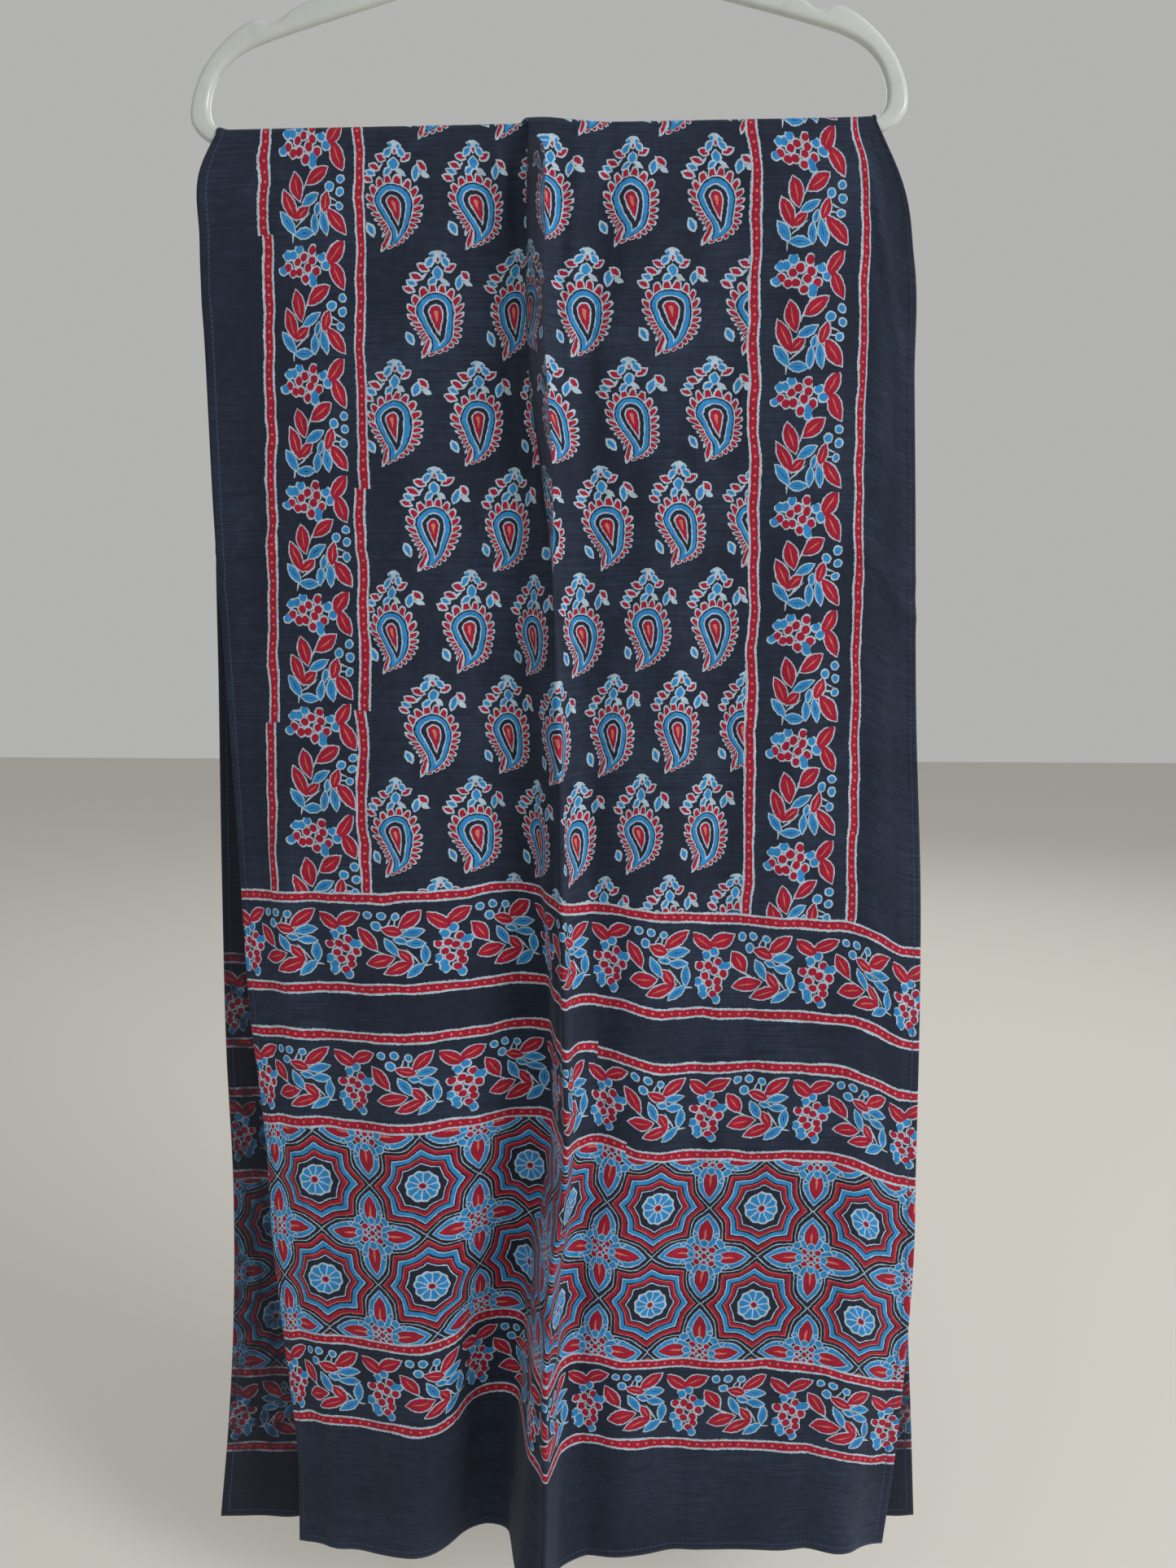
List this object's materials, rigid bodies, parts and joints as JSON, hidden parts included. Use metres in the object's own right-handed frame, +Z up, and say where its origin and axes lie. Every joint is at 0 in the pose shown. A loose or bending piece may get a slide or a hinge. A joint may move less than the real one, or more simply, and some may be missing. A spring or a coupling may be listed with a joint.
{
  "type": "ajrakh cloth on clothes hanger",
  "caption": "Block-printed ajrakh cotton stole with vine borders, paisley field and patterned end, folded double over the bar of a pale plastic clothes hanger.",
  "frame": {"origin": "seat of the hanger's hook, where the rail bears, on the middle of the hanger's thickness", "axes": "+Z up, +X along the hanger to the viewer's right, -Y towards the side of the cloth that shows its front fold"},
  "size_m": [0.51, 0.0973, 1.1411],
  "materials": {
    "printed_cotton": "resist-printed matte cotton, indigo ground with crimson, blue and white",
    "moulded_plastic": "glossy injection moulding"
  },
  "bodies": {
    "root": {"cloth": "printed_cotton", "hanger": "moulded_plastic"}
  },
  "joints": []
}
